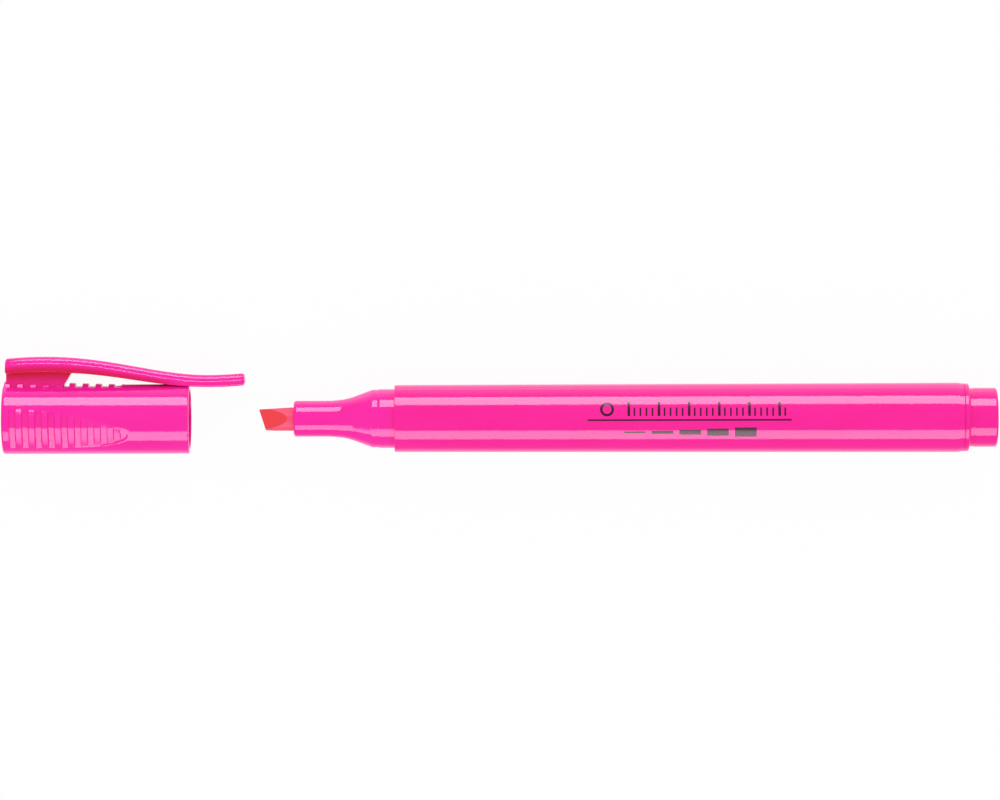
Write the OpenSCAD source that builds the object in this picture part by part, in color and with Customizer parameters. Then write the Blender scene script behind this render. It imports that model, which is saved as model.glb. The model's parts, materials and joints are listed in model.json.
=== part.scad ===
// Slim capped highlighter with a chisel nib and a sprung pocket clip.
// It lies on a table with its cap pulled off and laid in line with the nib.
// Every piece is drawn in the pen's own frame, then placed() lays it on the table:
// X runs from the cap to the rear, x = 0 is the barrel's front shoulder, +Z is the clip's side.

/* [Barrel] */
// Length of the barrel from its front shoulder to its rear lip
barrel_length = 95.2; // [90:0.1:120]
// Wall of the barrel at its front shoulder
barrel_wall = 1.1; // [0.8:0.05:1.4]
// How much slimmer the barrel is than the cap at its front shoulder
shoulder_inset = 0.2; // [0.05:0.05:0.4]
// Length of the slimmer lip at the barrel's rear end
rear_lip_length = 0.8; // [0.4:0.1:2]
// How far the rear lip lies below the barrel
rear_lip_inset = 0.12; // [0.05:0.01:0.3]

/* [Nose] */
// Length of the nose ahead of the shoulder
nose_length = 16.8; // [15:0.1:24]
// Length of the straight tube at the nose's front
nose_tube_length = 3.7; // [2.5:0.1:5]
// Wall of the tube that holds the nib
nose_wall = 1; // [0.8:0.05:1.3]
// Length of the seat that the cap closes on
seat_length = 3.1; // [2:0.1:5]
// Length of the nose's stem inside the barrel
nose_stem_length = 8; // [5:0.5:12]

/* [Nib] */
// Radius of the nib's rod
nib_r = 2; // [1.6:0.05:2.4]
// How far the nib stands out of the nose
nib_reach = 5.9; // [4:0.1:8]
// Length of the nib's tail inside the ink core
nib_tail = 6; // [3:0.5:10]
// Angle of each bevel to the nib's axis
bevel_angle = 15; // [10:1:25]
// Thickness left at the writing edge
edge_thickness = 1.6; // [1:0.1:2.4]
// Slant of the writing edge
edge_slant = 18; // [0:1:35]

/* [Ink core] */
// Length of the fibre core
core_length = 78; // [60:1:80]
// Thickness of the film round the core
film = 0.15; // [0.1:0.05:0.4]
// Radial air gap between the film and the barrel
air_gap = 0.25; // [0.1:0.05:0.5]

/* [Rear plug] */
// Length of the collar that meets the barrel
collar_length = 0.73; // [0.5:0.05:2]
// Length of the post that takes the cap while writing
post_length = 4.4; // [3:0.1:8]
// Length of the plug's stem inside the barrel
plug_stem_length = 6.5; // [4:0.5:8]
// Wall of the plug's hollow stem
plug_wall = 1; // [0.7:0.1:1.5]

/* [Cap] */
// Outer radius of the cap
cap_r = 5.8; // [5.6:0.05:8]
// Length of the cap
cap_length = 31.1; // [28:0.1:45]
// Wall of the cap at its mouth
cap_wall = 0.83; // [0.7:0.01:1]
// Thickness of the cap's closed end
cap_end_wall = 1; // [0.8:0.1:2]
// How far the inner bore steps in behind the mouth bore
bore_step = 0.27; // [0.1:0.01:0.4]
// How far the cap is pulled off, mouth to shoulder
cap_off = 34.1; // [24:0.1:60]
// Wall of the inner seal cup
seal_wall = 0.7; // [0.5:0.05:0.9]
// Length of nose tube that the seal cup covers
seal_cover = 3.5; // [2:0.1:3.6]
// Room between the nib's edge and the floor of the seal cup
seal_room = 1; // [0.5:0.1:3]

/* [Grip ribs] */
// Distance from one rib to the next
rib_pitch = 2.17; // [1.8:0.01:3]
// Number of grooves in each side patch
side_grooves = 9; // [4:1:9]
// Depth of the grooves
groove_depth = 0.3; // [0.1:0.05:0.4]
// Height of the first rib under the clip above the cap
crest_height = 0.6; // [0.2:0.05:0.8]

/* [Pocket clip] */
// Width of the clip
clip_width = 5.4; // [4.5:0.1:7]
// Height of the clip's outer face above the cap at its root
clip_rise = 4.61; // [4:0.01:6]
// Height of the clip's outer face above the cap near its tip
clip_tip_rise = 1.53; // [1.4:0.01:2]
// Thickness of the clip at its root
clip_root_thickness = 2.6; // [2:0.05:3]
// Thickness of the clip at its tip
clip_tip_thickness = 2.05; // [1.6:0.05:2.4]
// Radius of the clip's outer edges
clip_edge_r = 1.05; // [0.4:0.05:1.2]
// How far the clip reaches past the cap's mouth
clip_overhang = 9.2; // [5:0.1:14]
// Length of the block that joins the clip to the cap
web_length = 9.7; // [7:0.1:14]
// Width of that block
web_width = 3.4; // [2:0.1:4]

/* [Fits] */
// Radial play of the cap on the nose's seat
seat_play = 0.05; // [0.03:0.01:0.1]
// Radial play of the cap on the rear post
post_play = 0.03; // [0.01:0.01:0.1]
// Radial play of the seal cup on the nose tube
seal_play = 0.05; // [0.02:0.01:0.1]
// Radial play of pieces that are pressed together
press_play = 0.02; // [0:0.01:0.05]
// Gap between the clip's underside and the cap
clip_play = 0.06; // [0.04:0.01:0.2]

/* [Hidden] */
$fn = 96;
eps = 0.01;

// Radii that follow from the cap and the walls
mouth_bore_r = cap_r - cap_wall;
deep_bore_r = mouth_bore_r - bore_step;
seat_r = mouth_bore_r - seat_play;
post_r = mouth_bore_r - post_play;
barrel_front_r = cap_r - shoulder_inset;
barrel_bore_r = barrel_front_r - barrel_wall;
stem_r = barrel_bore_r - press_play;
film_r = barrel_bore_r - air_gap;
tube_r = nib_r + nose_wall;
nib_bore_r = nib_r + press_play;
seal_bore_r = tube_r + seal_play;
lip_r = cap_r - rear_lip_inset;

// Places along the pen
tube_front = -nose_length;
tube_back = tube_front + nose_tube_length;
flare_length = 3.6;
nib_tip = tube_front - nib_reach;
core_gap = 0.4;
core_front = nose_stem_length + core_gap;
core_back = core_front + core_length;
plug_back = barrel_length + collar_length + post_length;
cap_end = -(cap_off + cap_length);
nib_clearance = 0.1;
stem_chamfer = 0.4;
channel = 0.6;
fin = 0.8;
fin_play = 0.05;
post_end_wall = 1.2;
post_edge_r = 0.45;

// Places along the cap, counted from its closed end
mouth_bore_length = seat_length + 1.4;
seal_mouth = cap_length - nose_length + seal_cover;
seal_floor = cap_length + nib_tip - seal_room;
seal_base = 1.6;
end_corner_r = 0.4;
mouth_edge_r = 0.25;
first_rib = 0.22;
groove_width = rib_pitch / 2;
first_groove = first_rib + 1.5 * groove_width;
patch_taper = 14.5;
patch_end = first_groove + rib_pitch * side_grooves;
side_patch_mid = 112;
side_patch_half = 36;
crest_half = 30;
crest_fade = 20.3;
crest_ribs = 8;

// The clip's outline, counted from the cap's closed end
clip_start = 0.4;
clip_peak = 7;
clip_low = cap_length + 2.9;
clip_end = cap_length + clip_overhang;
clip_crown = 0.37;
clip_kick = 0.3;
clip_skew = 1.12;
clip_tip_r = 0.5;
web_start = 0.55;
web_lean = 1.15;
web_sink = 0.3;
split = web_start + web_length + web_lean;
saddle_r = cap_r + clip_play;

// How the pen lies: it is rolled until the edge of the clip meets the table that the cap lies on
edge_out = cap_r + clip_rise - clip_edge_r;
edge_side = clip_width / 2 - clip_edge_r;
roll = asin((cap_r - clip_edge_r) / norm([edge_out, edge_side])) - atan(edge_side / edge_out);
clip_reach_y = edge_out * cos(roll) + edge_side * sin(roll) + clip_edge_r;
mid_x = (cap_end + plug_back) / 2;
mid_y = (clip_reach_y - cap_r) / 2;

// Height of the clip's outer face above the pen's axis, x from the cap's closed end
function smooth(t) = t * t * (3 - 2 * t);
function clip_fall(x) = smooth(pow(min(1, max(0, (x - clip_peak) / (clip_low - clip_peak))), clip_skew));
function clip_top(x) = cap_r + clip_rise
    - (clip_rise - clip_tip_rise) * clip_fall(x)
    - clip_crown * pow(max(0, clip_peak - x) / clip_peak, 2)
    + clip_kick * pow(max(0, x - clip_low) / (clip_end - clip_low), 2);
function clip_thickness(x) = clip_root_thickness
    - (clip_root_thickness - clip_tip_thickness) * min(1, max(0, (x - split) / (cap_length - split)));

// How far a rounded end of radius r pulls the outline in, d before the end
function end_inset(d, r) = d >= r ? 0 : r - sqrt(max(0, r * r - pow(r - d, 2)));

// One cross-section of the clip: flat underside, upright sides and rounded outer edges
function clip_section(x, inset) =
    let (
        top = clip_top(x) - inset,
        bottom = clip_top(x) - clip_thickness(x) + inset,
        r = min(clip_edge_r, (top - bottom) / 2),
        side = clip_width / 2 - r
    )
    concat(
        [[x, -clip_width / 2, bottom], [x, clip_width / 2, bottom]],
        [for (a = [0:15:90]) [x, side + r * cos(a), top - r + r * sin(a)]],
        [for (a = [90:15:180]) [x, -side + r * cos(a), top - r + r * sin(a)]]
    );

// A closed skin over a list of equal cross-sections
module loft(rings) {
    n = len(rings[0]);
    last = len(rings) - 1;
    polyhedron(
        points = [for (ring = rings) each ring],
        faces = concat(
            [[for (i = [0:n - 1]) i]],
            [for (s = [0:last - 1], i = [0:n - 1])
                let (j = (i + 1) % n)
                [s * n + i, (s + 1) * n + i, (s + 1) * n + j, s * n + j]],
            [[for (i = [n - 1:-1:0]) last * n + i]]
        ),
        convexity = 4
    );
}

// Lays a turned shape, drawn about Z, along the pen's axis
module along_x() {
    rotate([0, 90, 0]) children();
}

// Turns an outline of [x, r] points into a solid about the pen's axis
module turned(outline) {
    along_x() rotate_extrude() polygon([for (p = outline) [p[1], p[0]]]);
}

// A bar of ring about the cap's axis, centred mid degrees round from the clip
module ring_bar(x, width, r_in, r_out, mid, half) {
    along_x() rotate([0, 0, 180 + mid - half]) rotate_extrude(angle = 2 * half)
        translate([r_in, x - width / 2]) square([r_out - r_in, width]);
}

// Moves a piece from the pen's frame to where it lies on the table
module placed() {
    translate([-mid_x, -mid_y, cap_r]) rotate([-(90 + roll), 0, 0]) children();
}

// Moves a piece of the cap from the cap's own places to where the cap lies
module in_cap() {
    placed() translate([cap_end, 0, 0]) children();
}

module barrel() {
    color("deeppink") placed() turned([
        [0, barrel_bore_r],
        [0, barrel_front_r - 0.15],
        [0.15, barrel_front_r],
        [barrel_length - rear_lip_length - 0.15, cap_r],
        [barrel_length - rear_lip_length, lip_r],
        [barrel_length, lip_r],
        [barrel_length, barrel_bore_r]
    ]);
}

module nose_section() {
    flare_r = tube_r + 0.12 * (seat_r - tube_r);
    seat_front = -seat_length;
    seat_chamfer = 0.1;
    color("hotpink") placed() difference() {
        turned([
            [tube_front, 0],
            [tube_front, tube_r - 0.5],
            [tube_front + 0.15, tube_r - 0.15],
            [tube_front + 0.5, tube_r],
            [tube_back, tube_r],
            [tube_back + flare_length, flare_r],
            [seat_front - 5 * seat_chamfer, seat_r - seat_chamfer],
            [seat_front, seat_r],
            [0, seat_r],
            [0, stem_r],
            [nose_stem_length - stem_chamfer, stem_r],
            [nose_stem_length, stem_r - stem_chamfer],
            [nose_stem_length, 0]
        ]);
        translate([tube_front - eps, 0, 0]) along_x()
            cylinder(h = nose_length + nose_stem_length + 2 * eps, r = nib_bore_r);
        // Air channels beside the nib
        for (a = [45:90:315])
            rotate([a, 0, 0]) translate([tube_back, nib_r - channel / 2, -channel / 2])
                cube([nose_length, 1.3 * channel, channel]);
    }
}

module chisel_nib() {
    tail_end = core_front + nib_tail;
    color("tomato") placed() difference() {
        turned([
            [nib_tip, 0],
            [nib_tip, nib_r],
            [tail_end - 1, nib_r],
            [tail_end, nib_r - 0.6],
            [tail_end, 0]
        ]);
        // The slanted writing edge, longest on the clip's side
        translate([nib_tip, 0, nib_r]) rotate([0, -edge_slant, 0]) translate([-6, -4, -8])
            cube([6, 8, 12]);
        // Two flat bevels
        for (side = [-1, 1])
            scale([1, side, 1]) translate([nib_tip, edge_thickness / 2, 0])
                rotate([0, 0, bevel_angle]) translate([-4, 0, -4]) cube([16, 4, 8]);
    }
}

module ink_core() {
    core_r = film_r - film;
    color("violet") placed() turned([
        [core_front, nib_bore_r],
        [core_front, core_r],
        [core_back, core_r],
        [core_back, 0],
        [core_front + nib_tail + nib_clearance, 0],
        [core_front + nib_tail + nib_clearance, nib_bore_r]
    ]);
}

module core_film() {
    color("white") placed() turned([
        [core_front, film_r - film],
        [core_front, film_r],
        [core_back, film_r],
        [core_back, film_r - film]
    ]);
}

module end_plug() {
    stem_front = barrel_length - plug_stem_length;
    fin_front = core_back + fin_play;
    fin_half = stem_r - plug_wall - 0.2;
    foot_half = stem_r - plug_wall / 2;
    collar_back = barrel_length + collar_length;
    color("deeppink") placed() {
        turned([
            [stem_front, stem_r - plug_wall],
            [stem_front, stem_r - stem_chamfer],
            [stem_front + stem_chamfer, stem_r],
            [barrel_length, stem_r],
            [barrel_length, lip_r],
            [barrel_length + 0.25, lip_r - 0.08],
            [collar_back - 0.1, post_r + 0.15],
            [collar_back, post_r],
            [plug_back - post_edge_r, post_r],
            [plug_back - 0.3 * post_edge_r, post_r - 0.3 * post_edge_r],
            [plug_back, post_r - post_edge_r],
            [plug_back, 0],
            [plug_back - post_end_wall, 0],
            [plug_back - post_end_wall, stem_r - plug_wall]
        ]);
        // Two crossed fins that hold the core against the nose, with feet that root them in the stem
        for (a = [0, 90])
            rotate([a, 0, 0]) {
                translate([fin_front, -fin_half, -fin / 2])
                    cube([plug_back - post_end_wall / 2 - fin_front, 2 * fin_half, fin]);
                translate([stem_front + 0.6, -foot_half, -fin / 2])
                    cube([plug_stem_length - 1, 2 * foot_half, fin]);
            }
    }
}

// Angle on each side of a side patch's middle line, closing to a round end
function side_half(x) = x < patch_taper ? side_patch_half
    : side_patch_half * sqrt(max(0, 1 - pow((x - patch_taper) / (patch_end - patch_taper), 2)));
module cap_shell() {
    color("deeppink") in_cap() {
        difference() {
            union() {
                turned([
                    [0, 0],
                    [0, cap_r - end_corner_r],
                    [0.3 * end_corner_r, cap_r - 0.3 * end_corner_r],
                    [end_corner_r, cap_r],
                    [cap_length - mouth_edge_r, cap_r],
                    [cap_length, cap_r - mouth_edge_r],
                    [cap_length, 0]
                ]);
                // Ribs that stand proud under the clip and fade toward the mouth
                for (k = [-1:crest_ribs - 1])
                    let (x = first_groove + groove_width + k * rib_pitch)
                    ring_bar(x, groove_width, cap_r - 0.5,
                        cap_r + crest_height * (1 - x / crest_fade), 0, crest_half);
            }
            translate([cap_length - mouth_bore_length, 0, 0]) along_x()
                cylinder(h = mouth_bore_length + eps, r = mouth_bore_r);
            translate([cap_end_wall, 0, 0]) along_x()
                cylinder(h = cap_length, r = deep_bore_r);
            // Grooves of the two side patches and of the patch under the clip
            for (k = [0:side_grooves - 1])
                let (x = first_groove + k * rib_pitch)
                for (mid = [-side_patch_mid, side_patch_mid])
                    ring_bar(x, groove_width, cap_r - groove_depth, cap_r + 1, mid, side_half(x));
            for (k = [0:crest_ribs])
                ring_bar(first_groove + k * rib_pitch, groove_width,
                    cap_r - groove_depth, cap_r + 1, 0, crest_half);
        }
        clip_root();
    }
}

// The fixed root of the clip and the block under it
module clip_root() {
    web_foot = cap_r - groove_depth - web_sink;
    web_head = 1;
    steps = 12;
    rotate([90, 0, 0]) linear_extrude(height = web_width, center = true)
        polygon([
            [web_start, web_foot],
            [web_start, clip_top(web_start) - web_head],
            [split, clip_top(split) - web_head],
            [split, clip_top(split) - clip_root_thickness],
            [split - web_lean, cap_r],
            [split - web_lean, web_foot]
        ]);
    loft(concat(
        [for (d = [0.02, 0.1, 0.25]) clip_section(clip_start + d, end_inset(d, clip_tip_r))],
        [for (i = [0:steps])
            clip_section(clip_start + clip_tip_r + (split - clip_start - clip_tip_r) * i / steps, 0)]
    ));
}

module seal_cup() {
    flange_r = deep_bore_r - press_play;
    color("hotpink") in_cap() turned([
        [cap_end_wall, 0],
        [cap_end_wall, flange_r],
        [cap_end_wall + seal_base, flange_r],
        [cap_end_wall + seal_base, seal_bore_r + seal_wall],
        [seal_mouth, seal_bore_r + seal_wall],
        [seal_mouth, seal_bore_r + 0.3],
        [seal_mouth - 0.4, seal_bore_r],
        [seal_floor, seal_bore_r],
        [seal_floor, 0]
    ]);
}

module clip_arm() {
    steps = 28;
    body_end = clip_end - clip_tip_r;
    color("deeppink") in_cap() difference() {
        loft(concat(
            [for (i = [0:steps]) clip_section(split + (body_end - split) * i / steps, 0)],
            [for (d = [0.25, 0.1, 0.02]) clip_section(clip_end - d, end_inset(d, clip_tip_r))]
        ));
        translate([split - 1, 0, 0]) along_x() cylinder(h = clip_end, r = saddle_r);
    }
}

barrel();
nose_section();
chisel_nib();
ink_core();
core_film();
end_plug();
cap_shell();
seal_cup();
clip_arm();
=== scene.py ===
"""The looks of the highlighter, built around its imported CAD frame."""

import json
import math

import bmesh
import bpy
from mathutils import Matrix, Vector


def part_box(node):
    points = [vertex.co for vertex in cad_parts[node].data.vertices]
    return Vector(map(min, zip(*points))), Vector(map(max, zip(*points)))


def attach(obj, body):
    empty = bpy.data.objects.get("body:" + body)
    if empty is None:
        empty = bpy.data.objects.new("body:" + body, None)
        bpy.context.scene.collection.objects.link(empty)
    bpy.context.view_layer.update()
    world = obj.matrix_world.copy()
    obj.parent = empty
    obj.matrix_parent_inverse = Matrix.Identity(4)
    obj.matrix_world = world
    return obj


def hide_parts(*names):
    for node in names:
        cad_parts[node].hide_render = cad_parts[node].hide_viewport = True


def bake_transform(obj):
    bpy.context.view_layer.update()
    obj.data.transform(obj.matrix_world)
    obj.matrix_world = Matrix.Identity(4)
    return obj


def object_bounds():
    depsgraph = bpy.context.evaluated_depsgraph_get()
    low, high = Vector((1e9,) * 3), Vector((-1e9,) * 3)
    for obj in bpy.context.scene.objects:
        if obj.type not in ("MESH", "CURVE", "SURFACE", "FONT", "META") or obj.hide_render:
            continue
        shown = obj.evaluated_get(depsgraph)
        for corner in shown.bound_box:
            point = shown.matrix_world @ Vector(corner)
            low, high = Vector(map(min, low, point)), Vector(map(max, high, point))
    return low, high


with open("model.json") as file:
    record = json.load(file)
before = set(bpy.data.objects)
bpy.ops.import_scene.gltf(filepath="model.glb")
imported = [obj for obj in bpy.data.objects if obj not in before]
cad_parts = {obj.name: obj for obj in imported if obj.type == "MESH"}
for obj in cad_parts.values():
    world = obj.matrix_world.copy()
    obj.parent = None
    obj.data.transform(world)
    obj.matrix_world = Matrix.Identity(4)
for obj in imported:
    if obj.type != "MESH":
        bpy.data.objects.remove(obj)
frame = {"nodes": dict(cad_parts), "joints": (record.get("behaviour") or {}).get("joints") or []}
cad_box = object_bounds()

MM = 0.001
joints = {j["name"]: j for j in frame["joints"]}

# ---------------------------------------------------------------- the pen's own frame
# Lengths along the pen are in mm from the barrel's front shoulder, radii in mm from its axis,
# and angles in degrees round from the clip's side, positive toward the viewer.

ALONG = Vector((1, 0, 0))
TOWARD_VIEWER = Vector(joints["clip_flex"]["axis"]).normalized()
CLIP_SIDE = TOWARD_VIEWER.cross(ALONG).normalized()


def mm_box(node):
    """The low and high corners of a node's box, in mm."""
    low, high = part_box(node)
    return low / MM, high / MM


barrel_low, barrel_high = mm_box("barrel")
cap_low, cap_high = mm_box("cap_shell")
nose_low, nose_high = mm_box("nose_section")
plug_low, plug_high = mm_box("end_plug")
nib_low, nib_high = mm_box("chisel_nib")
arm_high = mm_box("clip_arm")[1]
cup_high = mm_box("seal_cup")[1]

SHOULDER = Vector((barrel_low.x, (barrel_low.y + barrel_high.y) / 2, (barrel_low.z + barrel_high.z) / 2))
BARREL_LENGTH = barrel_high.x - barrel_low.x
REAR_R = (barrel_high.z - barrel_low.z) / 2
BARREL_TAPER = 0.2
BARREL_WALL = 1.1
NIB_WALL = 1.0
CAP_PLAY = 0.05
PRESS_PLAY = 0.02
CAP_R = REAR_R
FRONT_R = REAR_R - BARREL_TAPER
SEAT_R = (nose_high.z - nose_low.z) / 2
NIB_R = 2.0
TUBE_R = NIB_R + NIB_WALL
NOSE_FRONT = nose_low.x - SHOULDER.x
NOSE_BACK = nose_high.x - SHOULDER.x
NIB_FRONT = nib_low.x - SHOULDER.x
NIB_BACK = nib_high.x - SHOULDER.x
PLUG_FRONT = plug_low.x - SHOULDER.x
PLUG_BACK = plug_high.x - SHOULDER.x
CAP_END = cap_low.x - SHOULDER.x
CAP_LENGTH = cap_high.x - cap_low.x
CLIP_END = arm_high.x - cap_low.x
SPLIT = joints["clip_flex"]["pos_m"][0] / MM - cap_low.x
BORE_R = FRONT_R - BARREL_WALL
MOUTH_BORE_R = SEAT_R + CAP_PLAY
REAR_STEP = 0.12
LIP_R = REAR_R - REAR_STEP


def place(x, angle, r):
    """The point in the row frame at x, angle and radius of the pen's own frame."""
    a = math.radians(angle)
    out = CLIP_SIDE * math.cos(a) + TOWARD_VIEWER * math.sin(a)
    return (SHOULDER + ALONG * x + out * r) * MM


def place_xyz(x, toward, up):
    """The point at x along the pen, toward the viewer and up to the clip's side, in mm."""
    return (SHOULDER + ALONG * x + TOWARD_VIEWER * toward + CLIP_SIDE * up) * MM


def pen_xyz(point):
    """The other way round: x, toward and up in mm of a point in the row frame."""
    from_shoulder = point / MM - SHOULDER
    return from_shoulder.dot(ALONG), from_shoulder.dot(TOWARD_VIEWER), from_shoulder.dot(CLIP_SIDE)


# ---------------------------------------------------------------- camera
# The distance is in metres, the rise above the pen's axis in mm and the roll in degrees.
VIEW_DISTANCE = 1.0
IMAGE_WIDTH = 1000
PIXELS_PER_MM = 6.0
VIEW_WIDTH = IMAGE_WIDTH / PIXELS_PER_MM * MM
VIEW_RISE = 3.05
VIEW_ROLL = -0.12


def add_camera():
    middle = ((cap_low.x + plug_high.x) / 2) - SHOULDER.x
    target = place_xyz(middle, 0, VIEW_RISE)
    data = bpy.data.cameras.new("camera")
    data.sensor_width = 36
    data.lens = data.sensor_width * VIEW_DISTANCE / VIEW_WIDTH
    data.clip_start = 0.05
    camera = bpy.data.objects.new("camera", data)
    bpy.context.scene.collection.objects.link(camera)
    turn = Matrix((ALONG, CLIP_SIDE, TOWARD_VIEWER)).transposed().to_4x4()
    roll = Matrix.Rotation(math.radians(VIEW_ROLL), 4, "Z")
    camera.matrix_world = Matrix.Translation(target + TOWARD_VIEWER * VIEW_DISTANCE) @ turn @ roll
    bpy.context.scene.camera = camera


add_camera()


# ---------------------------------------------------------------- mesh helpers
def smoothstep(t):
    t = min(1.0, max(0.0, t))
    return t * t * (3 - 2 * t)


def ramp(t):
    return min(1.0, max(0.0, t))


def span(low, high, count):
    return [low + (high - low) * i / count for i in range(count + 1)]


def paint(mesh_builder, name, value_at):
    """Stores a value from 0 to 1 at every point, for a material to read by name."""
    layer = mesh_builder.verts.layers.float_color.new(name)
    for vert in mesh_builder.verts:
        value = value_at(vert.co)
        vert[layer] = (value, value, value, 1)


def new_piece(name, mesh_builder, material, body, sharp_angle=35):
    """Makes an object from a bmesh, with smooth faces split at its sharp edges."""
    bmesh.ops.recalc_face_normals(mesh_builder, faces=mesh_builder.faces[:])
    data = bpy.data.meshes.new(name)
    mesh_builder.to_mesh(data)
    mesh_builder.free()
    data.polygons.foreach_set("use_smooth", [True] * len(data.polygons))
    data.set_sharp_from_angle(angle=math.radians(sharp_angle))
    data.materials.append(material)
    piece = bpy.data.objects.new(name, data)
    bpy.context.scene.collection.objects.link(piece)
    if body:
        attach(piece, body)
    return piece


def rounded(corners, steps=6, guard=0.05):
    """Points along an outline of (x, r, fillet) corners, with a close point beside each fillet."""
    points = []
    for i, (x, r, fillet) in enumerate(corners):
        corner = Vector((x, r))
        if not fillet:
            points.append(corner)
            continue
        back = Vector(corners[i - 1][:2]) - corner
        ahead = Vector(corners[(i + 1) % len(corners)][:2]) - corner
        a, b = back.normalized(), ahead.normalized()
        half = a.angle(b) / 2
        reach = fillet / math.tan(half)
        centre = corner + (a + b).normalized() * fillet / math.sin(half)
        start, end = corner + a * reach - centre, corner + b * reach - centre
        if reach + guard < back.length:
            points.append(corner + a * (reach + guard))
        for k in range(steps + 1):
            points.append(centre + start.normalized().slerp(end.normalized(), k / steps) * fillet)
        if reach + guard < ahead.length:
            points.append(corner + b * (reach + guard))
    return points


ON_AXIS = 1e-6


def turn_into(bm, points, slices, relief=None):
    """Turns an outline about the pen's axis. It closes on itself, or at the axis where r is 0."""
    rings = []
    for x, r in points:
        if r < ON_AXIS:
            rings.append([bm.verts.new(place(x, 0, 0))])
            continue
        ring = []
        for k in range(slices):
            angle = 360 * k / slices
            ring.append(bm.verts.new(place(x, angle, relief(x, r, angle) if relief else r)))
        rings.append(ring)
    open_ended = len(rings[0]) == 1 and len(rings[-1]) == 1
    pairs = list(zip(rings, rings[1:])) + ([] if open_ended else [(rings[-1], rings[0])])
    for a, b in pairs:
        for k in range(slices):
            n = (k + 1) % slices
            corners = [a[k % len(a)], a[n % len(a)], b[n % len(b)], b[k % len(b)]]
            unique = list(dict.fromkeys(corners))
            if len(unique) > 2:
                bm.faces.new(unique)


ROUND_SLICES = 192


def turned(name, corners, material, body):
    """A new piece turned from an outline of (x, r, fillet) corners."""
    bm = bmesh.new()
    turn_into(bm, rounded(corners), ROUND_SLICES)
    return new_piece(name, bm, material, body)


def loft_into(bm, rings):
    """Skins a list of equal closed rings of points, with flat ends."""
    rows = [[bm.verts.new(p) for p in ring] for ring in rings]
    count = len(rows[0])
    for a, b in zip(rows, rows[1:]):
        for k in range(count):
            n = (k + 1) % count
            bm.faces.new((a[k], a[n], b[n], b[k]))
    bm.faces.new(rows[0])
    bm.faces.new(reversed(rows[-1]))


# ---------------------------------------------------------------- materials
def new_material(name):
    material = bpy.data.materials.new(name)
    material.use_nodes = True
    nodes = material.node_tree.nodes
    links = material.node_tree.links
    return material, nodes, links, nodes["Principled BSDF"]


def add_noise(nodes, links, scale, detail, stretch=(1, 1, 1)):
    """Noise in the object's own metres, stretched along the axes."""
    where = nodes.new("ShaderNodeTexCoord")
    mapping = nodes.new("ShaderNodeMapping")
    mapping.inputs["Scale"].default_value = stretch
    noise = nodes.new("ShaderNodeTexNoise")
    noise.inputs["Scale"].default_value = scale
    noise.inputs["Detail"].default_value = detail
    links.new(where.outputs["Object"], mapping.inputs["Vector"])
    links.new(mapping.outputs["Vector"], noise.inputs["Vector"])
    return noise.outputs["Fac"]


def add_ramp(nodes, links, fac, stops):
    ramp = nodes.new("ShaderNodeValToRGB")
    links.new(fac, ramp.inputs["Fac"])
    for element, (position, colour) in zip(ramp.color_ramp.elements, stops):
        element.position = position
        element.color = (*colour, 1)
    return ramp.outputs["Color"]


def add_bump(nodes, links, height, strength, distance, under=None):
    bump = nodes.new("ShaderNodeBump")
    bump.inputs["Strength"].default_value = strength
    bump.inputs["Distance"].default_value = distance
    links.new(height, bump.inputs["Height"])
    if under:
        links.new(under, bump.inputs["Normal"])
    return bump.outputs["Normal"]


def painted(nodes, name):
    """The value that paint() stored under this name, 0 on a piece that has none."""
    stored = nodes.new("ShaderNodeAttribute")
    stored.attribute_name = name
    return stored.outputs["Fac"]


def mix_colours(nodes, links, fac, first, second):
    """A mix of two colours, each a node's output or an (r, g, b)."""
    mix = nodes.new("ShaderNodeMix")
    mix.data_type = "RGBA"
    links.new(fac, mix.inputs["Factor"])
    for socket, colour in ((mix.inputs[6], first), (mix.inputs[7], second)):
        if isinstance(colour, tuple):
            socket.default_value = (*colour, 1)
        else:
            links.new(colour, socket)
    return mix.outputs[2]


PLASTIC_IOR = 1.49
# Painted shade: the deep red that the clip's flanks and web are mixed toward, standing in for shade and
# the cap's red bounce light.
PAINTED_SHADE_RED = (0.73, 0.0, 0.055)
GRIP_DULLNESS = 0.13


def moulded_plastic(name, deep, pale, roughness, waviness, grain):
    """Glossy opaque polypropylene: clouded pigment, slow sink waves and a fine mould grain.

    It is duller where "grip" is painted, and turns deep red where painted shade is stored: painted shade
    and red bounce light in the clip's hollows.
    """
    material, nodes, links, shader = new_material(name)
    cloud = add_noise(nodes, links, 260, 3, (0.35, 1, 1))
    pigment = add_ramp(nodes, links, cloud, [(0.3, deep), (0.7, pale)])
    # Painted shade: the pigment is mixed toward deep red where the clip's hollows carry painted shade.
    shaded_pigment = mix_colours(nodes, links, painted(nodes, "painted_shade"), pigment, PAINTED_SHADE_RED)
    links.new(shaded_pigment, shader.inputs["Base Color"])
    speck = add_noise(nodes, links, 2600, 4)
    rough = nodes.new("ShaderNodeMapRange")
    rough.inputs["To Min"].default_value = roughness * 0.8
    rough.inputs["To Max"].default_value = roughness * 1.25
    links.new(speck, rough.inputs["Value"])
    dull = nodes.new("ShaderNodeMath")
    dull.operation = "MULTIPLY_ADD"
    dull.inputs[1].default_value = GRIP_DULLNESS
    links.new(painted(nodes, "grip"), dull.inputs[0])
    links.new(rough.outputs["Result"], dull.inputs[2])
    links.new(dull.outputs["Value"], shader.inputs["Roughness"])
    sink = add_noise(nodes, links, 35, 1)
    waves = add_bump(nodes, links, sink, 1.0, waviness * MM)
    links.new(add_bump(nodes, links, speck, 1.0, grain * MM, waves), shader.inputs["Normal"])
    shader.inputs["IOR"].default_value = PLASTIC_IOR
    return material


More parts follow.
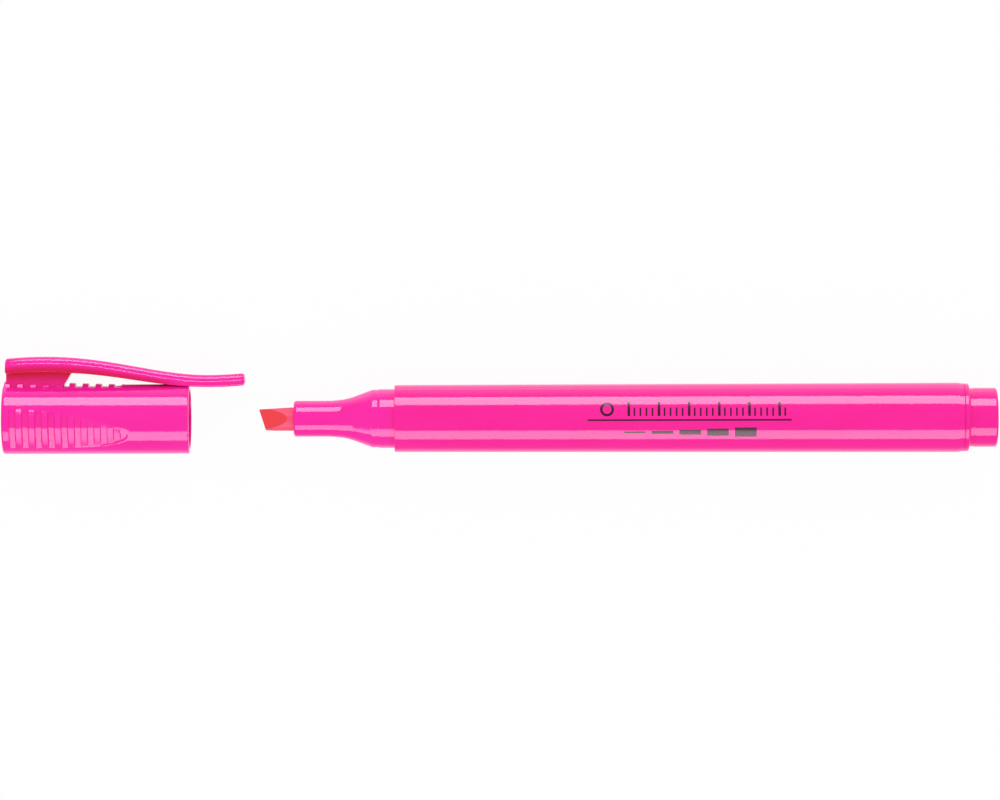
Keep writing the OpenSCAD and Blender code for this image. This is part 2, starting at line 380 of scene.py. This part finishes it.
def fibre(name, deep, pale, roughness, height, cut=(0, 0, 0)):
    """Ink-soaked fibre: fine strands along the pen, wetter and redder where "cut" is painted."""
    material, nodes, links, shader = new_material(name)
    strand = add_noise(nodes, links, 3200, 5, (0.12, 1, 1))
    skin = add_ramp(nodes, links, strand, [(0.3, deep), (0.7, pale)])
    links.new(mix_colours(nodes, links, painted(nodes, "cut"), skin, cut), shader.inputs["Base Color"])
    shader.inputs["Roughness"].default_value = roughness
    links.new(add_bump(nodes, links, strand, 0.6, height * MM), shader.inputs["Normal"])
    return material


def printed_ink(name):
    material, nodes, links, shader = new_material(name)
    cover = add_noise(nodes, links, 1800, 3)
    stops = [(0.35, (0.03, 0.0, 0.014)), (0.75, (0.08, 0.001, 0.035))]
    links.new(add_ramp(nodes, links, cover, stops), shader.inputs["Base Color"])
    shader.inputs["Roughness"].default_value = 0.22
    links.new(add_bump(nodes, links, cover, 0.3, 0.004 * MM), shader.inputs["Normal"])
    return material


BARREL_PINK = moulded_plastic(
    "barrel_plastic", deep=(0.98, 0.009, 0.32), pale=(1.0, 0.013, 0.345),
    roughness=0.09, waviness=0.002, grain=0.0006,
)
CAP_PINK = moulded_plastic(
    "cap_plastic", deep=(0.98, 0.012, 0.37), pale=(1.0, 0.017, 0.4),
    roughness=0.09, waviness=0.003, grain=0.0006,
)
INNER_PINK = moulded_plastic(
    "inner_plastic", deep=(0.9, 0.03, 0.3), pale=(1.0, 0.05, 0.36),
    roughness=0.32, waviness=0.01, grain=0.002,
)
NIB_FIBRE = fibre(
    "nib_fibre", deep=(0.93, 0.045, 0.14), pale=(1.0, 0.07, 0.2),
    roughness=0.62, height=0.02, cut=(0.92, 0.022, 0.038),
)
CORE_FIBRE = fibre(
    "core_fibre", deep=(0.85, 0.04, 0.3), pale=(1.0, 0.12, 0.42),
    roughness=0.8, height=0.08,
)
FILM = moulded_plastic(
    "wrap_film", deep=(0.85, 0.45, 0.62), pale=(0.98, 0.7, 0.82),
    roughness=0.3, waviness=0.03, grain=0.002,
)
INK = printed_ink("printed_ink")


# ---------------------------------------------------------------- barrel, nose and plug
REAR_JOINT = BARREL_LENGTH - 0.4
JOINT_GAP = 0.01
JOINT_FILLET = 0.08
STEM_R = BORE_R - PRESS_PLAY


def add_barrel():
    step_start, step_end = BARREL_LENGTH - 1.35, BARREL_LENGTH - 0.6
    corners = [
        (0, BORE_R, 0),
        (0, FRONT_R, 0.12),
        (step_start, REAR_R, 1.0),
        (step_end, LIP_R, 1.0),
        (REAR_JOINT, LIP_R, JOINT_FILLET),
        (REAR_JOINT, BORE_R, 0),
    ]
    shell = turned("barrel_shell", corners, BARREL_PINK, "pen")
    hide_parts("barrel")


def add_nose():
    land_r = SEAT_R - 0.08
    bore = NIB_R + PRESS_PLAY
    flare_start, flare_middle, flare_end = -10.6, -7.9, -3.7
    land_end, seat_start = -2.85, -2.4
    corners = [
        (NOSE_FRONT, bore, 0),
        (NOSE_FRONT, TUBE_R, 0.45),
        (flare_start, TUBE_R, 14),
        (flare_middle, TUBE_R + 0.27, 9),
        (flare_end, land_r, 0.8),
        (land_end, land_r, 0.1),
        (seat_start, SEAT_R, 0.1),
        (0, SEAT_R, 0),
        (0, STEM_R, 0),
        (NOSE_BACK, STEM_R, 0.4),
        (NOSE_BACK, bore, 0),
    ]
    nose = turned("nose_cone", corners, CAP_PINK, "pen")
    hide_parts("nose_section")


def add_plug():
    post_play = 0.03
    post_r = MOUTH_BORE_R - post_play
    neck_r = post_r - 0.05
    core_r = STEM_R - 1.0
    core_start, stem_start = PLUG_FRONT + 6.0, BARREL_LENGTH - 6.5
    collar_start, collar_end = REAR_JOINT + JOINT_GAP, BARREL_LENGTH + 0.4
    neck_start, neck_end, post_start = BARREL_LENGTH + 0.5, BARREL_LENGTH + 1.15, BARREL_LENGTH + 1.4
    corners = [
        (core_start, core_r, 0),
        (stem_start, core_r, 0),
        (stem_start, STEM_R, 0.4),
        (collar_start, STEM_R, 0),
        (collar_start, LIP_R, JOINT_FILLET),
        (collar_end, LIP_R, 0.35),
        (neck_start, neck_r, 0.05),
        (neck_end, neck_r, 0.1),
        (post_start, post_r, 0.1),
        (PLUG_BACK, post_r, 0.45),
        (PLUG_BACK, 0, 0),
    ]
    bm = bmesh.new()
    points = rounded(corners)
    points.insert(0, Vector((points[0].x, 0)))
    turn_into(bm, points, ROUND_SLICES)
    # The crossed fins that press on the ink core, and run 1 mm into the plug
    fin_half, fin_half_thickness = core_r - 0.2, 0.4
    for upright in (True, False):
        rings = []
        for x in (PLUG_FRONT, core_start + 1.0):
            ring = []
            for side, thick in ((-1, -1), (1, -1), (1, 1), (-1, 1)):
                up, out = side * fin_half, thick * fin_half_thickness
                ring.append(place_xyz(x, out, up) if upright else place_xyz(x, up, out))
            rings.append(ring)
        loft_into(bm, rings)
    plug = new_piece("rear_plug", bm, BARREL_PINK, "pen")
    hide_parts("end_plug")


# ---------------------------------------------------------------- nib
def add_nib():
    """A fibre rod cut by a slanted end and two bevels, and just thinned above and below."""
    slant = math.radians(18)
    lean = math.radians(3.4)
    bevel = math.radians(15)
    half_edge = 0.7
    upper_depth, lower_depth = 0.45, 0.17
    spare = 0.5
    tail_taper = 0.6
    bm = bmesh.new()
    outline = [Vector((NIB_FRONT - spare, 0)), Vector((NIB_FRONT - spare, NIB_R))]
    outline += [Vector((x, NIB_R)) for x in span(NIB_FRONT + spare, NIB_BACK - 1, 30)]
    outline += [Vector((NIB_BACK, NIB_R - tail_taper)), Vector((NIB_BACK, 0))]
    turn_into(bm, outline, 96)
    bmesh.ops.recalc_face_normals(bm, faces=bm.faces[:])
    cuts = [(place_xyz(NIB_FRONT, 0, NIB_R), ALONG * -math.cos(slant) + CLIP_SIDE * -math.sin(slant))]
    for side in (-1, 1):
        normal = TOWARD_VIEWER * (side * math.cos(bevel)) + ALONG * -math.sin(bevel)
        cuts.append((place_xyz(NIB_FRONT, side * half_edge, 0), normal))
    for side, depth in ((1, upper_depth), (-1, lower_depth)):
        normal = CLIP_SIDE * side * math.cos(lean) + ALONG * -math.sin(lean)
        cuts.append((place_xyz(NIB_FRONT, 0, side * (NIB_R - depth)), normal))
    painted_cut = bm.loops.layers.float_color.new("cut")
    for face in bm.faces:
        for loop in face.loops:
            loop[painted_cut] = (0, 0, 0, 1)
    for point, normal in cuts:
        whole = bm.verts[:] + bm.edges[:] + bm.faces[:]
        cut = bmesh.ops.bisect_plane(
            bm, geom=whole, plane_co=point, plane_no=normal, clear_outer=True,
        )
        rim = [e for e in cut["geom_cut"] if isinstance(e, bmesh.types.BMEdge)]
        for face in bmesh.ops.contextual_create(bm, geom=rim)["faces"]:
            for loop in face.loops:
                loop[painted_cut] = (1, 1, 1, 1)
    bmesh.ops.remove_doubles(bm, verts=bm.verts[:], dist=0.002 * MM)
    edge_angle = 12
    nib = new_piece("nib", bm, NIB_FIBRE, "pen", sharp_angle=edge_angle)
    worn = nib.modifiers.new("worn_edges", "BEVEL")
    worn.width = 0.07 * MM
    worn.segments = 3
    worn.limit_method = "ANGLE"
    worn.angle_limit = math.radians(edge_angle)
    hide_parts("chisel_nib")


# ---------------------------------------------------------------- cap
# The ribs run round the cap at one pitch, on a crest under the clip and on a patch each side.
RIB_PITCH = 2.17
FIRST_GROOVE = 1.85
GROOVE_EDGE = 0.2
RIB_SLOPE_STEPS = (-0.7, -0.5, -0.35, -0.2, -0.07, 0.07, 0.2, 0.35, 0.5, 0.7)
# Points deeper than this are inside the cap, and take no relief.
SKIN_DEPTH = 0.45

CREST_HALF = 27
CREST_EDGE = 10
CREST_FADE = 20.3
CREST_HEIGHT = 0.6
CREST_GROOVE = 0.3

SIDE_START = 1.2
SIDE_END = 21.4
SIDE_HALF = 37
SIDE_MIDDLE = 109.5
SIDE_SHIFT = 7
SIDE_ROUNDNESS = 2.6
SIDE_RIB = 0.22
SIDE_RIB_END = 13.5
SIDE_GROOVE = 0.2
SIDE_GROOVE_END = 20.9

# The flat for the fingers lies in the half of a side patch that is far from the clip.
FLAT_MIDDLE = 126
FLAT_HALF = 21
FLATNESS = 0.7
FLAT_END_SLOPE = 0.9

# The cap stops this far short of the barrel's shoulder when it is on.
MOUTH_GAP = 0.02
CAP_END_WALL = 1.0
CAP_SLICES = 288


def in_groove(x):
    """1 on a groove's floor, 0 on a rib, with a short slope between them; x is from the closed end."""
    from_groove = abs((x - FIRST_GROOVE + RIB_PITCH / 2) % RIB_PITCH - RIB_PITCH / 2)
    return 1 - smoothstep((from_groove - RIB_PITCH / 4 + GROOVE_EDGE / 2) / GROOVE_EDGE)


def side_patch(x, angle):
    """Degrees from a point in a side's tongue-shaped patch to its edges near and far from the clip."""
    if x > SIDE_END or x < SIDE_START:
        return -1, -1
    along = (x - SIDE_START) / (SIDE_END - SIDE_START)
    half = SIDE_HALF * math.sqrt(1 - along ** SIDE_ROUNDNESS)
    middle = SIDE_MIDDLE + SIDE_SHIFT * along
    return half - middle + abs(angle), half + middle - abs(angle)


def to_side_end(x, angle):
    """How far along the cap the side patch's round end still lies ahead of a point."""
    off = abs(abs(angle) - SIDE_MIDDLE - SIDE_SHIFT) / SIDE_HALF
    reach = (SIDE_END - SIDE_START) * max(0, 1 - off ** 2) ** (1 / SIDE_ROUNDNESS)
    return SIDE_START + reach - x


def side_flat(r, angle):
    """How deep the flat for the fingers lies under the round."""
    off = math.radians(abs(angle) - FLAT_MIDDLE)
    half = math.radians(FLAT_HALF)
    if abs(off) > half:
        return 0
    return FLATNESS * r * (1 - math.cos(half) / math.cos(off))


def cap_relief(x, r, angle):
    """Radius of the cap's skin with its grip ribs; x is from the barrel's shoulder."""
    x -= CAP_END
    if r < CAP_R - SKIN_DEPTH or x > CREST_FADE + 4:
        return r
    angle = (angle + 180) % 360 - 180
    groove = in_groove(x)
    crest = smoothstep((CREST_HALF - abs(angle)) / CREST_EDGE) * smoothstep((x - 0.1) / 0.2)
    crest_rib = CREST_HEIGHT * ramp(1 - x / CREST_FADE) * crest
    crest_groove = CREST_GROOVE * crest * smoothstep((CREST_FADE + 0.8 - x) / 3)
    near, far = side_patch(x, angle)
    begun = smoothstep((x - SIDE_START) / 0.2)
    side_rib = SIDE_RIB * ramp(1 - (x / SIDE_RIB_END) ** 4) * ramp(near / 10) * ramp(far / 10) * begun
    near_slope = 6 + 14 * smoothstep((x - 9) / 6)
    side_groove = SIDE_GROOVE * smoothstep(near / near_slope) * ramp(far / 14) * begun
    side_groove *= ramp((SIDE_GROOVE_END - x) / 1.6)
    flat = side_flat(r, angle) * begun * ramp(far / 3)
    flat *= smoothstep(to_side_end(x, angle) / FLAT_END_SLOPE)
    return r + (crest_rib + side_rib) * (1 - groove) - (crest_groove + side_groove) * groove - flat


def grip_at(point):
    """How much a point of the cap lies in a side patch or among the crest's ribs, 0 to 1."""
    x, toward, up = pen_xyz(point)
    if math.hypot(toward, up) < CAP_R - SKIN_DEPTH:
        return 0
    x, angle = x - CAP_END, math.degrees(math.atan2(toward, up))
    if abs(angle) < CREST_HALF + 2 and x < CREST_FADE:
        return 1
    near, far = side_patch(x, angle)
    return ramp(near / 2) * ramp(far / 2) * ramp(to_side_end(x, angle) - 1)


def cap_stations():
    """Places along the cap's skin, close together on the slopes of the ribs."""
    half_pitch = RIB_PITCH / 2
    places = []
    for i in range(int((SIDE_END + 1) / half_pitch) + 1):
        edge = FIRST_GROOVE - half_pitch / 2 + i * half_pitch
        places += [edge + GROOVE_EDGE * t for t in RIB_SLOPE_STEPS]
        places += [edge + half_pitch / 2 - 0.12, edge + half_pitch / 2 + 0.12]
    start = [0.5, 0.7, 0.9, 1.1]
    smooth = span(places[-1] + 0.6, CAP_LENGTH - 0.6, 14)
    return start + [x for x in places if x > start[-1] + 0.05] + smooth


def add_cap():
    deep_r = MOUTH_BORE_R - 0.27
    mouth, bore_end, deep_start = CAP_LENGTH - MOUTH_GAP, CAP_LENGTH - 4.5, CAP_LENGTH - 4.8
    front = rounded([(0, 0, 0), (0, CAP_R, 0.4), (CAP_LENGTH, CAP_R, 0)])[:-2]
    skin = [Vector((x, CAP_R)) for x in cap_stations()]
    back = rounded([
        (CAP_LENGTH - 1, CAP_R, 0),
        (mouth, CAP_R, 0.28),
        (mouth, MOUTH_BORE_R, 0.15),
        (bore_end, MOUTH_BORE_R, 0.1),
        (deep_start, deep_r, 0.1),
        (CAP_END_WALL, deep_r, 0.2),
        (CAP_END_WALL, 0, 0),
    ])[1:]
    points = [Vector((CAP_END + p.x, p.y)) for p in front + skin + back]
    bm = bmesh.new()
    turn_into(bm, points, CAP_SLICES, cap_relief)
    paint(bm, "grip", grip_at)
    cap = new_piece("cap_body", bm, CAP_PINK, "cap", sharp_angle=60)
    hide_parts("cap_shell")


def add_seal_cup():
    bore_r = TUBE_R + CAP_PLAY
    outer_r = bore_r + 0.7
    flange_r = MOUTH_BORE_R - 0.29
    nib_room = 1.0
    floor = CAP_LENGTH + NIB_FRONT - nib_room
    mouth = cup_high.x - cap_low.x
    flange_end = 2.6
    corners = [
        (CAP_END_WALL, 0, 0),
        (CAP_END_WALL, flange_r, 0),
        (flange_end, flange_r, 0.1),
        (flange_end, outer_r, 0.3),
        (mouth, outer_r, 0.2),
        (mouth, bore_r + 0.1, 0.15),
        (mouth - 0.5, bore_r, 0.3),
        (floor, bore_r, 0.3),
        (floor, 0, 0),
    ]
    corners = [(CAP_END + x, r, fillet) for x, r, fillet in corners]
    cup = turned("inner_seal", corners, INNER_PINK, "cap")
    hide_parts("seal_cup")


# ---------------------------------------------------------------- clip
# Rises are from the cap's skin, and places along the clip are from the cap's closed end.
CLIP_HALF = 2.7
CLIP_RISE = 4.61
CLIP_TIP_RISE = 1.53
CLIP_PEAK = 7.0
CLIP_LOW = CAP_LENGTH + 2.9
CLIP_CROWN = 0.37
CLIP_KICK = 0.3
CLIP_THICKNESS = 2.6
CLIP_THINNING = 0.55
CLIP_START = 0.4
CLIP_EDGE_R = 1.0
CLIP_END_R = 0.5
PARTING_STEP = 0.07
PARTING_DEPTH = 0.13
FLANK_START = 1.2
WEB_START = 0.55
WEB_LENGTH = 9.7
WEB_MIDDLE = 5
WEB_HALF = 1.7
WEB_EDGE_R = 0.3
WEB_LEAN = SPLIT - WEB_START - WEB_LENGTH
SADDLE_R = CAP_R + 0.015


def clip_top(x):
    """Height of the clip's outer face above the axis; x is from the cap's closed end."""
    t = ramp((x - CLIP_PEAK) / (CLIP_LOW - CLIP_PEAK))
    crown = CLIP_CROWN * (max(0, CLIP_PEAK - x) / CLIP_PEAK) ** 2
    kick = CLIP_KICK * (max(0, x - CLIP_LOW) / (CLIP_END - CLIP_LOW)) ** 2
    fall = (CLIP_RISE - CLIP_TIP_RISE) * smoothstep(t ** 1.12)
    return CAP_R + CLIP_RISE - fall - crown + kick


def clip_thickness(x):
    """The root is full thickness, and the free arm thins toward the cap's mouth."""
    return CLIP_THICKNESS - CLIP_THINNING * ramp((x - SPLIT) / (CAP_LENGTH - SPLIT))


def end_inset(distance, radius):
    """How far a rounded end draws its outline in, at a distance from the end."""
    if distance >= radius:
        return 0
    return radius - math.sqrt(max(0, radius ** 2 - (radius - distance) ** 2))


def clip_ring(x, inset):
    """One cross-section of the clip, as (toward, up): rounded outer edges above a fine parting step."""
    top = clip_top(x) - inset
    low = clip_top(x) - clip_thickness(x) + inset
    half = CLIP_HALF - inset
    upper = half - PARTING_STEP

    def floor_at(side):
        saddle = math.sqrt(SADDLE_R ** 2 - side ** 2)
        return max(low, saddle) if x > SPLIT else low

    lower_r = 0.18 + 0.2 * smoothstep((x - CAP_LENGTH + 1) / 2)
    points = []
    for angle in span(0, 90, 8):
        a = math.radians(angle)
        side = upper - CLIP_EDGE_R + CLIP_EDGE_R * math.sin(a)
        points.append((side, top - CLIP_EDGE_R + CLIP_EDGE_R * math.cos(a)))
    step_top = top - CLIP_EDGE_R - 0.04
    step_low = step_top - PARTING_DEPTH
    for t in (0, 0.15, 0.85, 1):
        points.append((upper + PARTING_STEP * t, step_top + (step_low - step_top) * t))
    edge = floor_at(half)
    points += [(half, step_low - 0.03), (half, (step_low + edge + lower_r) / 2)]
    for angle in span(0, 90, 4):
        a = math.radians(angle)
        side = half - lower_r + lower_r * math.cos(a)
        points.append((side, floor_at(side) + lower_r - lower_r * math.sin(a)))
    points += [(side, floor_at(side)) for side in span(half - lower_r - 0.15, 0, 6)]
    left = [(-side, up) for side, up in reversed(points[1:-1])]
    return points + left


def web_front(up):
    """Where the web's front lies at a height: it leans forward from the cap to the clip's underside."""
    underside = clip_top(SPLIT) - clip_thickness(SPLIT)
    return SPLIT - WEB_LEAN * (1 - ramp((up - CAP_R) / (underside - CAP_R)))


def painted_shade_at(point):
    """How much painted shade and red bounce light a point on the clip's flanks and web takes, 0 to 1,
    darkest between the clip's lip and the cap.
    """
    x, toward, up = pen_xyz(point)
    x -= CAP_END
    step = clip_top(x) - CLIP_EDGE_R - 0.2
    if up > step or abs(toward) < FLANK_START:
        return 0
    deepest = step - 1.5
    if up > deepest:
        # Painted shade down the flank below the lip, fading out toward the cap's mouth.
        shade_share = 0.6 * smoothstep((step - up) / 0.3) + 0.4 * smoothstep((step - up - 0.3) / 0.9)
        return shade_share * smoothstep((CAP_LENGTH - x) / 6)
    return 1 - 0.75 * ramp((deepest - up) / (deepest - CAP_R))


def add_clip():
    ends = (0.01, 0.03, 0.07, 0.13, 0.2, 0.3, 0.4)
    stations = [(CLIP_START + d, end_inset(d, CLIP_END_R)) for d in ends]
    stations += [(x, 0) for x in span(CLIP_START + CLIP_END_R, CLIP_END - CLIP_END_R, 150)]
    stations += [(CLIP_END - d, end_inset(d, CLIP_END_R)) for d in reversed(ends)]
    bm = bmesh.new()
    loft_into(bm, [
        [place_xyz(CAP_END + x, side, up) for side, up in clip_ring(x, inset)]
        for x, inset in stations
    ])
    # The web that joins the clip to the cap, sunk a little into both
    root = WEB_START + WEB_EDGE_R
    side_in = WEB_HALF - WEB_EDGE_R
    rings = []
    for up in span(CAP_R - 0.6, clip_top(WEB_MIDDLE) - 1.2, 24):
        front = web_front(up) - WEB_EDGE_R
        centres = ((front, side_in), (root, side_in), (root, -side_in), (front, -side_in))
        ring = []
        for (x, side), first in zip(centres, (0, 90, 180, 270)):
            for angle in span(first, first + 90, 4):
                a = math.radians(angle)
                ring.append((x + WEB_EDGE_R * math.cos(a), side + WEB_EDGE_R * math.sin(a)))
        rings.append([place_xyz(CAP_END + x, side, up) for x, side in ring])
    loft_into(bm, rings)
    # Painted shade on the clip's flanks and web, stored for the material to darken toward deep red.
    paint(bm, "painted_shade", painted_shade_at)
    clip = new_piece("clip", bm, CAP_PINK, None, sharp_angle=40)
    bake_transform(clip)
    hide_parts("cap_shell", "clip_arm")


# ---------------------------------------------------------------- print
PRINT_LIFT = 0.012


def barrel_r(x):
    """Radius of the barrel's skin under the print, x from its front shoulder."""
    return FRONT_R + BARREL_TAPER * x / (BARREL_LENGTH - 1.2)


def mark_into(bm, x0, x1, y0, y1):
    """A thin patch of ink on the barrel, from x0 to x1 and, up from the view's middle line, y0 to y1."""
    rings = []
    for x in span(x0, x1, max(1, int((x1 - x0) / 2))):
        r = barrel_r(x)
        angles = [90 - math.degrees(math.asin(y / r)) for y in span(y0, y1, 6)]
        ring = [place(x, a, r + PRINT_LIFT) for a in angles]
        ring += [place(x, a, r - PRINT_LIFT) for a in reversed(angles)]
        rings.append(ring)
    loft_into(bm, rings)


def ring_mark_into(bm, x, y, outer, inner):
    """A flat printed ring on the barrel, round x along it and y up from the view's middle line."""
    slices = 48
    outline = ((inner, PRINT_LIFT), (outer, PRINT_LIFT), (outer, -PRINT_LIFT), (inner, -PRINT_LIFT))
    sections = []
    for k in range(slices):
        a = math.tau * k / slices
        section = []
        for reach, lift in outline:
            along, up = x + reach * math.cos(a), y + reach * math.sin(a)
            r = barrel_r(along)
            section.append(bm.verts.new(place(along, 90 - math.degrees(math.asin(up / r)), r + lift)))
        sections.append(section)
    for k in range(slices):
        here, there = sections[k], sections[(k + 1) % slices]
        for i in range(4):
            n = (i + 1) % 4
            bm.faces.new((here[i], here[n], there[n], there[i]))


def add_print():
    """A generic print: a ring, a rule with a tick scale above it and a line-width guide below it."""
    start, length = 32.1, 33.8
    tick_foot, tick_pitch, tick_count = 0.35, 1.0, 27
    bar_middle, bar_length, bar_pitch = -2.35, 3.6, 4.6
    bm = bmesh.new()
    ring_mark_into(bm, start + 3.2, 1.45, outer=1.15, inner=0.75)
    mark_into(bm, start, start + length, -0.46, -0.2)
    for i in range(tick_count):
        height, width = (2.3, 0.42) if i % 5 == 0 else (1.35, 0.26)
        x = start + 6.6 + i * tick_pitch
        mark_into(bm, x, x + width, tick_foot, tick_foot + height)
    for i, width in enumerate((0.25, 0.5, 0.8, 1.15, 1.5)):
        x = start + 6.0 + i * bar_pitch
        mark_into(bm, x, x + bar_length, bar_middle - width / 2, bar_middle + width / 2)
    new_piece("print_marks", bm, INK, "pen", sharp_angle=30)


add_barrel()
add_nose()
add_plug()
add_nib()
add_cap()
add_seal_cup()
add_clip()
add_print()
for node, material in (("ink_core", CORE_FIBRE), ("core_film", FILM)):
    frame["nodes"][node].data.materials.clear()
    frame["nodes"][node].data.materials.append(material)


# ---------------------------------------------------------------- stage and light
FLOOR_SIZE = 3
FLOOR_GAP = 0.00002
FLOOR_GLOW = 0.95
STRIP_DISTANCE = 0.6
STRIP_MIDDLE_MM = 17.5


def add_floor():
    """White paper that the camera sees as almost pure white, with only a trace of shadow."""
    bm = bmesh.new()
    bmesh.ops.create_grid(bm, x_segments=1, y_segments=1, size=FLOOR_SIZE)
    data = bpy.data.meshes.new("floor")
    bm.to_mesh(data)
    bm.free()
    floor = bpy.data.objects.new("floor", data)
    floor.location = (0, 0, cad_box[0][2] - FLOOR_GAP)
    bpy.context.scene.collection.objects.link(floor)
    material, nodes, links, shader = new_material("floor_paper")
    shader.inputs["Base Color"].default_value = (0.97, 0.97, 0.97, 1)
    shader.inputs["Roughness"].default_value = 0.9
    shader.inputs["Specular IOR Level"].default_value = 0.0
    glow = nodes.new("ShaderNodeEmission")
    path = nodes.new("ShaderNodeLightPath")
    share = nodes.new("ShaderNodeMath")
    share.operation = "MULTIPLY"
    share.inputs[1].default_value = FLOOR_GLOW
    links.new(path.outputs["Is Camera Ray"], share.inputs[0])
    blend = nodes.new("ShaderNodeMixShader")
    links.new(share.outputs["Value"], blend.inputs["Fac"])
    links.new(shader.outputs["BSDF"], blend.inputs[1])
    links.new(glow.outputs["Emission"], blend.inputs[2])
    links.new(blend.outputs["Shader"], nodes["Material Output"].inputs["Surface"])
    data.materials.append(material)
    floor.visible_glossy = False
    floor.visible_shadow = False


def add_strip(name, degrees, spread, start, end, radiance):
    """A soft light from start to end along the pen, in metres, and degrees round from the view."""
    a = math.radians(degrees)
    out = TOWARD_VIEWER * math.cos(a) + CLIP_SIDE * math.sin(a)
    data = bpy.data.lights.new(name, "AREA")
    data.shape = "RECTANGLE"
    data.size = end - start
    data.size_y = 2 * STRIP_DISTANCE * math.tan(math.radians(spread / 2))
    data.energy = radiance * math.pi * data.size * data.size_y
    light = bpy.data.objects.new(name, data)
    side = out.cross(ALONG)
    turn = Matrix((ALONG, side, out)).transposed().to_4x4()
    middle = place_xyz(STRIP_MIDDLE_MM, 0, 0) + ALONG * (start + end) / 2
    light.matrix_world = Matrix.Translation(middle + out * STRIP_DISTANCE) @ turn
    light.visible_camera = False
    bpy.context.scene.collection.objects.link(light)
    return light


def add_world():
    """White all round for the diffuse light; dimmer above and white below in reflections."""
    world = bpy.data.worlds.new("studio")
    bpy.context.scene.world = world
    world.use_nodes = True
    nodes, links = world.node_tree.nodes, world.node_tree.links
    background = nodes["Background"]
    where = nodes.new("ShaderNodeTexCoord")
    split = nodes.new("ShaderNodeSeparateXYZ")
    links.new(where.outputs["Generated"], split.inputs["Vector"])
    below = nodes.new("ShaderNodeMapRange")
    below.inputs["From Min"].default_value = -0.15
    below.inputs["From Max"].default_value = -0.55
    below.inputs["To Min"].default_value = 0.35
    below.inputs["To Max"].default_value = 1.0
    links.new(split.outputs["Z"], below.inputs["Value"])
    path = nodes.new("ShaderNodeLightPath")
    mix = nodes.new("ShaderNodeMix")
    mix.inputs["A"].default_value = 1.0
    links.new(path.outputs["Is Glossy Ray"], mix.inputs["Factor"])
    links.new(below.outputs["Result"], mix.inputs["B"])
    links.new(mix.outputs["Result"], background.inputs["Strength"])
    background.inputs["Color"].default_value = (1, 1, 1, 1)


add_floor()
upper = add_strip("strip_upper", degrees=62, spread=30, start=-0.165, end=0.35, radiance=6.6)
lower = add_strip("strip_lower", degrees=-59, spread=33, start=-0.48, end=0.35, radiance=4.2)
rim = add_strip("rim_behind_clip", degrees=121, spread=6, start=-0.3, end=0.3, radiance=0.7)
fill = add_strip("fill_behind_clip", degrees=102, spread=40, start=-0.4, end=0.4, radiance=1.8)
for reflected_only in (upper, lower, rim):
    reflected_only.visible_diffuse = False
fill.visible_glossy = False
add_world()
bpy.context.scene.view_settings.view_transform = "Standard"
